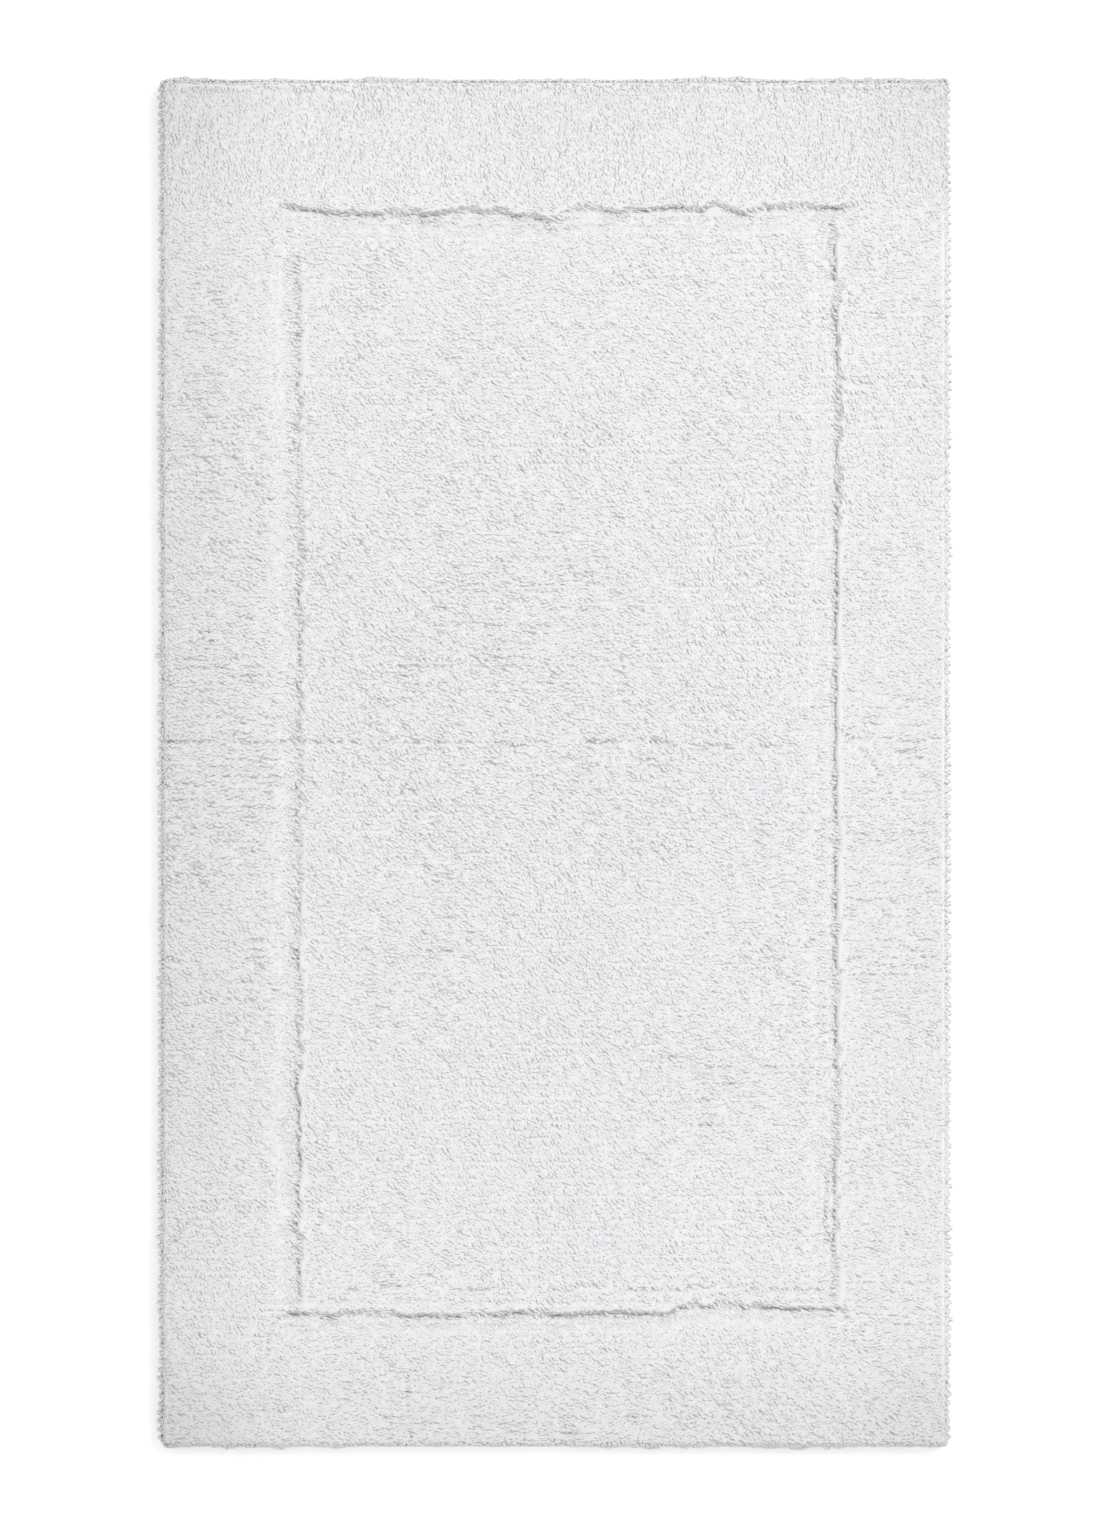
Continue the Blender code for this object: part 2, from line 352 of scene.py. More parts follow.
def calmness(x, y):
    # 0 where the pile is lively, in the middle of the panel and of the left border, and 1 elsewhere
    change = livelyPlaces["change"]
    (middleX, middleY), (reachX, reachY) = livelyPlaces["panel"], livelyPlaces["panelReach"]
    panel = ease((outX - np.abs(x)) / change)
    panel = panel * np.exp(-((x - middleX) / reachX) ** 2 - ((y - middleY) / reachY) ** 2)
    leftBorder = ease((-x - inX) / change) * hump(y - livelyPlaces["left"], livelyPlaces["leftReach"])
    return 1 - np.maximum(panel * ease((outY - np.abs(y)) / change), leftBorder)


def rowWander(x, y):
    wander, span = pile["rowWander"]
    return wander * smoothNoise(61, x, y, span)


def fineRelief(x, y):
    rows = np.cos(2 * math.pi * (y + rowWander(x, y)) / pile["rowPitch"])
    rows = rows * (0.6 + 1.0 * smoothNoise(63, x, 2 * y, 0.014))
    rows = rows * (1 - 0.9 * ease((y - outY + 0.01) / 0.02))   # the rows hardly show on the back border
    lively = 1.25 + pile["patchy"] * smoothNoise(62, x, y, 0.05)
    relief = pile["wave"] * waveHeight(x, y) + pile["rowWave"] * rows
    return mix(1, pile["calm"], calmness(x, y)) * lively * relief


def onPile(px, py, inset):
    # (px, py) is measured on the pile, so it runs on over the round edge; inset goes down into the pile
    baseX, baseY = np.clip(px, -flatX, flatX), np.clip(py, -flatY, flatY)
    du, dv = (px - baseX) / edgeSpan, (py - baseY) / edgeSpan
    over = np.clip(np.maximum(np.abs(du), np.abs(dv)), 0, edge["past"])
    angle = np.radians(over * edge["turn"])
    length = np.hypot(du, dv) + 1e-9
    du, dv = du / length, dv / length
    corner = np.ones_like(px)
    for (sx, sy), reach in edge["corners"].items():
        bulge = 1 + (reach - 1) * np.sin(2 * np.arctan2(np.abs(dv), np.abs(du))) ** 2
        corner = np.where((du * sx > 0) & (dv * sy > 0), bulge, corner)
    out = (edge["round"] - inset) * np.sin(angle) * corner
    z = edge["middle"] + (pileTop(baseX, baseY) - inset - edge["middle"]) * np.cos(angle)
    return np.stack([baseX + du * out, baseY + dv * out, np.maximum(z, clothTop + edge["aboveCloth"])], -1)


def howFarOver(px, py):
    # degrees round the edge: 0 on the flat pile, 90 where it faces outwards
    over = np.maximum(np.abs(px) - flatX, np.abs(py) - flatY) / edgeSpan
    return np.clip(over, 0, edge["past"]) * edge["turn"]


def keepOffPartings(roots, tips, rng):
    # tips and roots stay on their own side of an open parting, each at its own distance
    share, farAcross = valley["crosses"]
    own = np.where(rng.random(len(roots)) < share, farAcross, rng.uniform(*valley["keeps"], len(roots)))
    for side in valley["sides"].values():
        axis = 1 - side["runs"]
        along, rootAcross, reach = sideFrame(side, roots[:, 0], roots[:, 1])
        openness = partingOpen(side, along, reach)
        limit = (valley["clearance"] + side["gap"]) * openness * own
        near = (np.abs(rootAcross) < valley["felt"]) & (openness > 0.05)
        sign = np.where(rootAcross < 0, -1, 1)
        move = np.where(near & (np.abs(rootAcross) < limit), sign * limit - rootAcross, 0)
        roots[:, axis] += move
        tips[:, axis] += move
        tipAlong, tipAcross, tipReach = sideFrame(side, tips[:, 0], tips[:, 1])
        limit = (valley["clearance"] + side["gap"]) * partingOpen(side, tipAlong, tipReach) * own
        over = near & (tipAcross * sign < limit) & (np.abs(limit) > 0.1 * mm)
        tips[:, axis] += np.where(over, sign * limit - tipAcross, 0)


def plantRoots(rng):
    # places of the roots, and the middle of the row that each one belongs to
    rows = np.arange(-flatY - edgeSpan, flatY + edgeSpan, pile["rowPitch"])
    columns = np.arange(-flatX - edgeSpan, flatX + edgeSpan, pile["tipPitch"])
    lines = [row + line for row in rows for line in pile["lines"]]
    x = np.concatenate([columns + rng.uniform(-0.5, 0.5) * pile["tipPitch"] for _ in lines])
    y = np.repeat(lines, len(columns))
    rowMiddle = np.repeat(rows, len(columns) * len(pile["lines"]))
    x = x + rng.normal(0, pile["rootJitter"][0], len(x))
    wander = rowWander(x, y)
    y = y + rng.normal(0, pile["rootJitter"][1], len(x)) + wander
    rowMiddle = rowMiddle + wander
    inCorner = (np.abs(x) > flatX) & (np.abs(y) > flatY)
    kept = ~inCorner | (rng.random(len(x)) < edge["cornerShare"])
    kept &= howFarOver(x, y) < edge["turn"] * edge["lastTuft"]
    return x[kept], y[kept], rowMiddle[kept]


def raggedEnds(x, y, rowMiddle, onSide, rng):
    # along the left and right edges the cut ends stand out row by row, at the front and back loosely
    rows = 0.6 * np.cos(2 * math.pi * (y - rowMiddle) / pile["rowPitch"])
    bundle = np.where(onSide, rows, 0.5 * smoothNoise(75, x, y, 0.006))
    return edge["ragged"] * (bundle + 0.5 * smoothNoise(76, x, y, 0.012)
                             + 0.7 * smoothNoise(77, x, y, 0.04) * ~onSide + rng.normal(0, 0.12, len(x)))


def growTufts():
    rng = np.random.default_rng(pile["seed"])
    x, y, rowMiddle = plantRoots(rng)
    count, over = len(x), howFarOver(x, y)
    angle = combAngle(x, y) + rng.normal(0, pile["angleJitter"], count)
    byPlace, byTuft = pile["layJitter"]
    lay = pile["lay"] * (1 + byPlace * smoothNoise(41, x, y, 0.02) + rng.normal(0, byTuft, count))
    roots = np.stack([x, y], 1)
    lean = np.stack([lay * np.cos(angle), lay * np.sin(angle)], 1)
    outward = roots - np.stack([np.clip(x, -flatX, flatX), np.clip(y, -flatY, flatY)], 1)
    outward /= np.linalg.norm(outward, axis=1)[:, None] + 1e-9
    start, end = edge["hangs"]
    hang = ease((over - start) / (end - start))[:, None]
    lean = mix(lean, outward * edge["hangLength"], hang)
    onSide = (np.abs(x) > flatX) & (np.abs(y) < flatY)
    gather = edge["gather"] * (rowMiddle - y) * onSide * hang[:, 0]
    lean[:, 1] += gather
    roots[:, 1] += 0.5 * gather
    tips = roots + lean
    keepOffPartings(roots, tips, rng)
    lean = tips - roots
    bends = roots + pile["bendAt"] * lean
    calm = calmness(tips[:, 0], tips[:, 1])
    jitter = rng.normal(0, pile["heightJitter"], count) * mix(1, 0.6, calm)
    lift = fineRelief(tips[:, 0], tips[:, 1]) + jitter
    start, end = edge["raggedFrom"]
    lift = lift + raggedEnds(x, y, rowMiddle, onSide, rng) * ease((over - start) / (end - start))
    lift = lift + edge["plump"] * ease(over / start)
    lying = ease(np.linalg.norm(lean, axis=1) / pile["standing"])
    root = onPile(roots[:, 0], roots[:, 1], pile["rise"])
    bend = onPile(bends[:, 0], bends[:, 1], mix(*pile["bendInset"], lying) * mm - lift)
    tip = onPile(tips[:, 0], tips[:, 1], mix(*pile["tipInset"], lying) * mm - lift)
    radius = pile["radius"] * rng.uniform(*pile["sizeJitter"], count)
    return tuftPoints(root, bend, tip, radius, mix(*pile["flatness"], calm), rng), roots


def tuftPoints(root, bend, tip, radius, flatness, rng):
    # each tuft follows a curve from root by bend to tip, with flattened rings of points round it
    count, sides = len(root), pile["sides"]
    spin = rng.uniform(0, 2 * math.pi, count)
    lean = tip - root
    heading = bend - root
    side = np.cross(heading, tip - bend)
    flatSide = np.stack([-lean[:, 1], lean[:, 0], np.zeros(count)], 1)
    side = np.where((np.linalg.norm(side, axis=1) < 1e-7)[:, None], flatSide, side)
    side /= np.linalg.norm(side, axis=1)[:, None] + 1e-12
    thick = mix(1.0, flatness, ease(np.linalg.norm(lean, axis=1) / pile["standing"]))
    points = np.zeros((count, len(pile["rings"]) * sides + 1, 3))
    for ring, (t, size) in enumerate(zip(pile["rings"], pile["ringSize"])):
        centre = (1 - t) ** 2 * root + 2 * t * (1 - t) * bend + t * t * tip
        heading = (1 - t) * (bend - root) + t * (tip - bend)
        heading /= np.linalg.norm(heading, axis=1)[:, None] + 1e-12
        up = np.cross(heading, side)
        for k in range(sides):
            angle = spin + 2 * math.pi * k / sides
            reach = radius * size * rng.uniform(*pile["ringJitter"], count)
            points[:, ring * sides + k] = centre + side * (np.cos(angle) * reach)[:, None] \
                + up * (np.sin(angle) * reach * thick)[:, None]
    points[:, -1] = tip
    return points


def tuftBlock(points):
    sides, last = pile["sides"], (len(pile["rings"]) - 1) * pile["sides"]
    body = [(r + k, r + (k + 1) % sides, r + sides + (k + 1) % sides, r + sides + k)
            for r in range(0, last, sides) for k in range(sides)]
    tips = [(last + k, last + (k + 1) % sides, last + sides) for k in range(sides)]
    foot = [tuple(reversed(range(sides)))]
    offset = (np.arange(len(points)) * points.shape[1])[:, None, None]
    sets = [((np.array(faces)[None] + offset).reshape(-1, len(faces[0])), True)
            for faces in (body, tips, foot)]
    return points.reshape(-1, 3), sets


bed = {
    "depth": (0.56 * mm, 0.42 * mm),   # below the tips, on the lively and on the calm pile
    "steps": (1.1 * mm, 3.0 * mm),   # spacing of its points near a parting, and elsewhere
    "fine": 0.009,   # how near that is
    "fineX": (-0.225, 0.2455), "fineY": (0.484, -0.480),   # where the partings run
    "overPoints": 8,
    "over": (15, 80),   # degrees within which it draws back from the hanging ends
    "drawBack": 3.0 * mm,
    "tuck": (2.5 * mm, 0.6 * mm),   # how far it goes under the next bed, and how much deeper
    "aboveCloth": 0.3 * mm,
}


def gridLines(flat, fineNear):
    # spacing closes up near the partings, and the lines run on over the edge
    near, elsewhere = bed["steps"]
    lines = [-flat]
    while lines[-1] < flat:
        gap = min(abs(lines[-1] - place) for place in fineNear)
        lines.append(lines[-1] + (near if gap < bed["fine"] else elsewhere))
    over = np.linspace(0, edgeSpan, bed["overPoints"])[1:]
    return np.concatenate([-flat - over[::-1], lines[:-1], [flat], flat + over])


def closedBlock(upper, lower):
    # two matching grids of points, joined round the rim into one closed body
    rows, columns, _ = upper.shape
    index = np.arange(rows * columns).reshape(rows, columns)
    top = np.stack([index[:-1, :-1], index[:-1, 1:], index[1:, 1:], index[1:, :-1]], -1).reshape(-1, 4)
    rim = np.concatenate([index[0, :-1], index[:-1, -1], index[-1, :0:-1], index[:0:-1, 0]])
    after = np.roll(rim, -1)
    walls = np.stack([rim, rim + index.size, after + index.size, after], -1)
    points = np.concatenate([upper.reshape(-1, 3), lower.reshape(-1, 3)])
    return points, [(top, True), (top[:, ::-1] + index.size, True), (walls, False)]


def bedLines(flat, fineNear, low, high):
    # the lines from low to high, and a little further where the next block takes over
    end = flat + edgeSpan
    tuck = bed["tuck"][0]
    first, last = (low - tuck if low > -end else -end), (high + tuck if high < end else end)
    lines = np.unique(np.clip(np.append(gridLines(flat, fineNear), [low, high]), first, last))
    return lines, ease(np.maximum(low - lines, lines - high) / tuck)


def bedBlock(x0, x1, y0, y1):
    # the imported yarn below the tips: one closed block with a waved top, tucked under its neighbours
    gx, tuckX = bedLines(flatX, bed["fineX"], x0, x1)
    gy, tuckY = bedLines(flatY, bed["fineY"], y0, y1)
    px, py = np.meshgrid(gx, gy)
    start, end = bed["over"]
    over = np.clip((howFarOver(px, py) - start) / (end - start), 0, 1)
    inset = mix(*bed["depth"], calmness(px, py)) + partingDepth(px, py)
    inset = inset - fineRelief(px, py) * (1 - over) + bed["drawBack"] * over
    inset = inset + bed["tuck"][1] * np.maximum(tuckX[None, :], tuckY[:, None])
    upper = onPile(px, py, inset)
    lower = upper.copy()
    lower[..., 2] = clothTop + bed["aboveCloth"]
    return closedBlock(upper, lower)


def buildMesh(name, blocks, seenFromAbove=False):
    # blocks are (points, sets of (faces, smooth)), the faces of a set all with as many corners
    points, loops, starts, flats = [], [], [], []
    pointCount = loopCount = 0
    for blockPoints, faceSets in blocks:
        points.append(blockPoints)
        for faces, smooth in faceSets:
            flats.append(np.full(len(faces), not smooth))
            loops.append((faces + pointCount).ravel())
            starts.append(loopCount + np.arange(len(faces)) * faces.shape[1])
            loopCount += faces.size
        pointCount += len(blockPoints)
    points = np.concatenate(points).astype(np.float32)
    loops = np.concatenate(loops).astype(np.int32)
    starts = np.concatenate(starts).astype(np.int32)
    mesh = bpy.data.meshes.new(name)
    mesh.vertices.add(len(points))
    mesh.vertices.foreach_set("co", points.ravel())
    mesh.loops.add(len(loops))
    mesh.loops.foreach_set("vertex_index", loops)
    mesh.polygons.add(len(starts))
    mesh.polygons.foreach_set("loop_start", starts)
    mesh.update(calc_edges=True)
    mesh.polygons.foreach_set("use_smooth", ~np.concatenate(flats))
    if seenFromAbove:   # laid out flat, so the colours of the finished part keep their places
        low, high = points[:, :2].min(0), points[:, :2].max(0)
        flat = ((points[:, :2] - low) / (high - low))[loops]
        mesh.uv_layers.new(name="OFBake").data.foreach_set("uv", flat.astype(np.float32).ravel())
    return mesh


def addPiece(name, mesh, material, slot, *nodes):
    piece = bpy.data.objects.new(name, mesh)
    bpy.context.scene.collection.objects.link(piece)
    mesh.materials.append(material)
    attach(piece, "root")
    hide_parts(*nodes)
    return piece


def addNode(tree, kind, inputs=None, **settings):
    node = tree.nodes.new(kind)
    for name, value in settings.items():
        setattr(node, name, value)
    for name, value in (inputs or {}).items():
        node.inputs[name].default_value = value
    return node


def addMath(tree, operation, inputs=None):
    return addNode(tree, "ShaderNodeMath", inputs, operation=operation)


def chain(tree, *steps):
    # joins (node, output) to (node, input), pair after pair
    for (fromNode, output), (toNode, socket) in zip(steps[::2], steps[1::2]):
        tree.links.new(fromNode.outputs[output], toNode.inputs[socket])


def socketKind(value):
    if value is None:
        return "NodeSocketVector"
    return "NodeSocketColor" if isinstance(value, tuple) else "NodeSocketFloat"


def newGroup(name, inputs, outputs):
    group = bpy.data.node_groups.new(name, "ShaderNodeTree")
    for label, value in inputs.items():
        socket = group.interface.new_socket(name=label, in_out="INPUT", socket_type=socketKind(value))
        if value is not None:
            socket.default_value = value
    for label, kind in outputs.items():
        group.interface.new_socket(name=label, in_out="OUTPUT", socket_type=kind)
    return group, group.nodes.new("NodeGroupInput"), group.nodes.new("NodeGroupOutput")


def clothTone():
    # washed cotton is never one even white: broad cool and warm clouds, finer yarn to yarn differences
    group, given, result = newGroup(
        "clothTone", {"Vector": None, "Warm": (0.9, 0.9, 0.9, 1), "Cool": (0.9, 0.9, 0.93, 1),
                      "Cloud Size": 9.0, "Yarn Size": 380.0, "Yarn Contrast": 0.05},
        {"Color": "NodeSocketColor", "Yarn": "NodeSocketFloat"})
    clouds = addNode(group, "ShaderNodeTexNoise", {"Detail": 3.0})
    yarn = addNode(group, "ShaderNodeTexNoise", {"Detail": 2.0, "Roughness": 0.6})
    tone = addNode(group, "ShaderNodeMix", data_type="RGBA")
    shade = addMath(group, "ADD", {1: -0.5})
    scaled = addMath(group, "MULTIPLY")
    lighten = addMath(group, "ADD", {1: 1.0})
    apply = addNode(group, "ShaderNodeVectorMath", operation="SCALE")
    chain(group, (given, "Vector"), (clouds, "Vector"), (given, "Cloud Size"), (clouds, "Scale"),
          (given, "Vector"), (yarn, "Vector"), (given, "Yarn Size"), (yarn, "Scale"),
          (clouds, "Fac"), (tone, "Factor"), (given, "Warm"), (tone, "A"), (given, "Cool"), (tone, "B"),
          (yarn, "Fac"), (shade, 0), (shade, 0), (scaled, 0), (given, "Yarn Contrast"), (scaled, 1),
          (scaled, 0), (lighten, 0), (tone, "Result"), (apply, 0), (lighten, 0), (apply, "Scale"),
          (apply, 0), (result, "Color"), (yarn, "Fac"), (result, "Yarn"))
    return group


def paintedEdgeShade():
    # painted shade: the pile's colour is made greyer towards the edges and corners, more on the left and
    # front sides, standing in for light that falls off there
    group, given, result = newGroup(
        "paintedEdgeShade", {"Color": (0.9, 0.9, 0.9, 1), "Vector": None, "Width": 0.06, "Edge": 0.03, "Left": 0.03,
                      "Front": 0.03, "Corner": 0.1}, {"Color": "NodeSocketColor"})
    split = addNode(group, "ShaderNodeSeparateXYZ")
    chain(group, (given, "Vector"), (split, 0))
    near = []
    for axis, half, sign in (("X", halfX, 1), ("X", halfX, -1), ("Y", halfY, 1), ("Y", halfY, -1)):
        gap = addMath(group, "MULTIPLY_ADD", {1: -sign, 2: half})
        part = addMath(group, "DIVIDE")
        soft = addNode(group, "ShaderNodeMapRange", {"From Min": 1.0, "From Max": 0.0},
                       interpolation_type="SMOOTHSTEP")
        chain(group, (split, axis), (gap, 0), (gap, 0), (part, 0), (given, "Width"), (part, 1),
              (part, 0), (soft, "Value"))
        near.append(soft)
    sides, ends, edges = (addMath(group, "MAXIMUM") for _ in range(3))
    corner = addMath(group, "MULTIPLY")
    chain(group, (near[0], 0), (sides, 0), (near[1], 0), (sides, 1), (near[2], 0), (ends, 0),
          (near[3], 0), (ends, 1), (sides, 0), (edges, 0), (ends, 0), (edges, 1),
          (sides, 0), (corner, 0), (ends, 0), (corner, 1))
    # painted shade: darkening all round the rim, extra on the left and front sides, and in the corners
    total = None
    for source, label in ((edges, "Edge"), (near[1], "Left"), (near[3], "Front"), (corner, "Corner")):
        share = addMath(group, "MULTIPLY_ADD", {2: 0.0})
        chain(group, (source, 0), (share, 0), (given, label), (share, 1))
        if total:
            chain(group, (total, 0), (share, 2))
        total = share
    keep = addMath(group, "SUBTRACT", {0: 1.0})
    apply = addNode(group, "ShaderNodeVectorMath", operation="SCALE")
    chain(group, (total, 0), (keep, 1), (given, "Color"), (apply, 0), (keep, 0), (apply, "Scale"),
          (apply, 0), (result, "Color"))
    return group


def plainWeave():
    # over and under threads of a plain weave: height, and a mask that is 1 on the crossing threads
    group, given, result = newGroup("plainWeave", {"Vector": None, "Threads": 700.0, "Slub": 0.2},
                                    {"Height": "NodeSocketFloat", "Mask": "NodeSocketFloat"})
    wander = addNode(group, "ShaderNodeTexNoise", {"Scale": 60.0, "Detail": 2.0})
    pull = addNode(group, "ShaderNodeVectorMath", {1: (0.004, 0.004, 0.0)}, operation="MULTIPLY_ADD")
    split = addNode(group, "ShaderNodeSeparateXYZ")
    sines = []
    for axis in ("X", "Y"):
        turn = addMath(group, "MULTIPLY")
        wave = addMath(group, "SINE")
        chain(group, (split, axis), (turn, 0), (given, "Threads"), (turn, 1), (turn, 0), (wave, 0))
        sines.append(wave)
    cross = addMath(group, "MULTIPLY")
    mask = addMath(group, "MULTIPLY_ADD", {1: 0.5, 2: 0.5})
    slub = addMath(group, "MULTIPLY_ADD")
    chain(group, (given, "Vector"), (wander, "Vector"), (wander, "Color"), (pull, 0),
          (given, "Vector"), (pull, 2), (pull, 0), (split, 0), (sines[0], 0), (cross, 0),
          (sines[1], 0), (cross, 1), (cross, 0), (mask, 0), (wander, "Fac"), (slub, 0),
          (given, "Slub"), (slub, 1), (mask, 0), (slub, 2), (slub, 0), (result, "Height"),
          (mask, 0), (result, "Mask"))
    return group


toneGroup, paintedShadeGroup, weaveGroup = clothTone(), paintedEdgeShade(), plainWeave()


def newMaterial(name, finish):
    material = bpy.data.materials.new(name)
    material.use_nodes = True
    material.diffuse_color = (*finish["warm"], 1)
    shader = material.node_tree.nodes["Principled BSDF"]
    shader.inputs["Base Color"].default_value = (*finish["warm"], 1)
    shader.inputs["Emission Color"].default_value = (1, 1, 1, 1)   # only the studio floor glows a little
    for label, value in finish.items():
        if label in shader.inputs:
            shader.inputs[label].default_value = value
    return material, material.node_tree, shader


roughSwing = (-0.06, 0.04)   # how far the roughness goes down and up with the yarn or the weave


def finishCloth(name, finish):
    # a cotton or rubber finish: clouded tone, yarn or weave relief, and a roughness that follows it
    material, tree, shader = newMaterial(name, finish)
    place = addNode(tree, "ShaderNodeTexCoord")
    tones = {"Warm": (*finish["warm"], 1), "Cool": (*finish["cool"], 1), "Cloud Size": finish["clouds"],
             "Yarn Size": finish["yarn"], "Yarn Contrast": finish["contrast"]}
    tone = addNode(tree, "ShaderNodeGroup", tones, node_tree=toneGroup)
    bump = addNode(tree, "ShaderNodeBump", {"Strength": finish["bump"], "Distance": finish["relief"]})
    low, high = (finish["Roughness"] + swing for swing in roughSwing)
    rough = addNode(tree, "ShaderNodeMapRange", {"To Min": low, "To Max": high})
    chain(tree, (place, "Object"), (tone, "Vector"), (bump, "Normal"), (shader, "Normal"),
          (rough, "Result"), (shader, "Roughness"))
    colour = tone
    # painted shade towards the rim, for finishes that ask for it
    if "edges" in finish:
        colour = addNode(tree, "ShaderNodeGroup", finish["edges"], node_tree=paintedShadeGroup)
        chain(tree, (tone, "Color"), (colour, "Color"), (place, "Object"), (colour, "Vector"))
    chain(tree, (colour, "Color"), (shader, "Base Color"))
    height, mask = (tone, "Yarn"), (tone, "Yarn")
    if "threads" in finish:
        weave = addNode(tree, "ShaderNodeGroup", {"Threads": finish["threads"]}, node_tree=weaveGroup)
        chain(tree, (place, "Object"), (weave, "Vector"))
        height, mask = (weave, "Height"), (weave, "Mask")
    chain(tree, height, (bump, "Height"), mask, (rough, "Value"))
    return material


pileFinish = {
    "warm": (0.912, 0.912, 0.920), "cool": (0.888, 0.888, 0.918), "clouds": 9.0, "yarn": 420.0,
    "contrast": 0.05, "bump": 0.15, "relief": 0.4 * mm,
    "Roughness": 0.94, "Specular IOR Level": 0.12, "Sheen Weight": 0.12, "Sheen Roughness": 0.6,
    # width of the rim with painted shade, and how much darker it is painted all round, on the left and front
    # sides and in the corners
    "edges": {"Width": 0.13, "Edge": 0.028, "Left": 0.045, "Front": 0.045, "Corner": 0.075},
}


def pileZones():
    # each piece of the pile: its name, its node in the frame, and its boxes from x0 to x1 and y0 to y1
    far, count = halfX + halfY, pile["centrePieces"]
    cuts = np.linspace(-inY, inY, count + 1)
    zones = [(f"centre_pile_{k + 1}", "centre_pile", [(-inX, inX, cuts[k], cuts[k + 1])])
             for k in range(count)]
    zones.append(("channel_pile_low", "channel_pile",
                  [(-outX, outX, inY, outY), (-outX, outX, -outY, -inY),
                   (-outX, -inX, -inY, inY), (inX, outX, -inY, inY)]))
    borders = {"back": [(-far, 0, outY, far), (0, far, outY, far)],
               "front": [(-far, 0, -far, -outY), (0, far, -far, -outY)],
               "left": [(-far, -outX, 0, outY), (-far, -outX, -outY, 0)],
               "right": [(outX, far, 0, outY), (outX, far, -outY, 0)]}
    for side, boxes in borders.items():
        zones += [(f"border_pile_{side}_{k + 1}", "border_pile", [box]) for k, box in enumerate(boxes)]
    return zones


def makePile():
    material = finishCloth("whiteCottonPile", pileFinish)
    shapes, roots = growTufts()
    for name, node, boxes in pileZones():
        inside = np.zeros(len(roots), bool)
        for x0, x1, y0, y1 in boxes:
            inside |= (roots[:, 0] >= x0) & (roots[:, 0] < x1) & (roots[:, 1] >= y0) & (roots[:, 1] < y1)
        blocks = [tuftBlock(shapes[inside])]
        blocks += [bedBlock(*box) for box in boxes]
        mesh = buildMesh(name, blocks, seenFromAbove=True)
        addPiece(name, mesh, material, "pile", node)
        print(f"{name}: {int(inside.sum())} tufts")


makePile()


# The backing, hems and label are seen when the mat is turned over or a corner lifts.
backing = {
    "step": 6 * mm,
    "waver": 0.08 * mm,
    "finish": {"warm": (0.76, 0.74, 0.69), "cool": (0.72, 0.70, 0.66), "clouds": 14.0, "yarn": 500.0,
               "contrast": 0.12, "bump": 0.6, "relief": 0.3 * mm, "threads": 2400.0,
               "Roughness": 0.9, "Specular IOR Level": 0.2, "Sheen Weight": 0.08},
}


def gridOver(low, high, stepX, stepY):
    x = np.linspace(low.x, high.x, int((high.x - low.x) / stepX))
    return np.meshgrid(x, np.linspace(low.y, high.y, int((high.y - low.y) / stepY)))


def makeBacking():
    low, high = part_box("backing_cloth")
    gx, gy = gridOver(low, high, backing["step"], backing["step"])
    waver = backing["waver"] * smoothNoise(201, gx, gy, 0.03)
    upper = np.stack([gx, gy, np.full_like(gx, high.z - backing["waver"]) + waver], -1)
    lower = np.stack([gx, gy, np.full_like(gx, low.z + backing["waver"]) + waver], -1)
    mesh = buildMesh("backing_cloth_woven", [closedBlock(upper, lower)])
    material = finishCloth("naturalWovenCloth", backing["finish"])
    piece = addPiece("backing_cloth_woven", mesh, material, "backing_cloth", "backing_cloth")
    print("backing cloth made")


latex = {
    "steps": (6.2 * mm, 2.43 * mm),
    "ridge": 0.28 * mm,   # the coat follows the backs of the stitched rows
    "stitch": 5.6 * mm,
    "skin": 0.12 * mm,
    "rim": (0.5 * mm, 1.5 * mm),   # the coat thins towards its rim: how much, and over what distance
    "finish": {"warm": (0.80, 0.79, 0.74), "cool": (0.77, 0.76, 0.72), "clouds": 12.0, "yarn": 260.0,
               "contrast": 0.06, "bump": 0.5, "relief": 0.25 * mm, "Roughness": 0.55,
               "Specular IOR Level": 0.4},
}


def makeLatex():
    low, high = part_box("latex_backing")
    gx, gy = gridOver(low, high, *latex["steps"])
    wander = 0.5 * mm * smoothNoise(212, gx, gy, 0.02)
    rows = 0.5 + 0.5 * np.cos(2 * math.pi * (gy + wander) / pile["rowPitch"])
    along = gx / latex["stitch"] + np.rint(gy / pile["rowPitch"]) * 0.5
    stitches = 0.75 + 0.25 * np.cos(2 * math.pi * along)
    skin = latex["skin"] * patchNoise(211, gx, gy, 0.012)
    thinning, reach = latex["rim"]
    rim = thinning * np.exp(-np.minimum(high.x - np.abs(gx), high.y - np.abs(gy)) / reach)
    lower = np.stack([gx, gy, latex["ridge"] * (1 - rows * stitches) + skin + rim], -1)
    upper = np.stack([gx, gy, np.full_like(gx, high.z)], -1)
    mesh = buildMesh("latex_coat", [closedBlock(upper, lower)])
    material = finishCloth("offWhiteLatex", latex["finish"])
    piece = addPiece("latex_coat", mesh, material, "latex", "latex_backing")
    print("latex coat made")


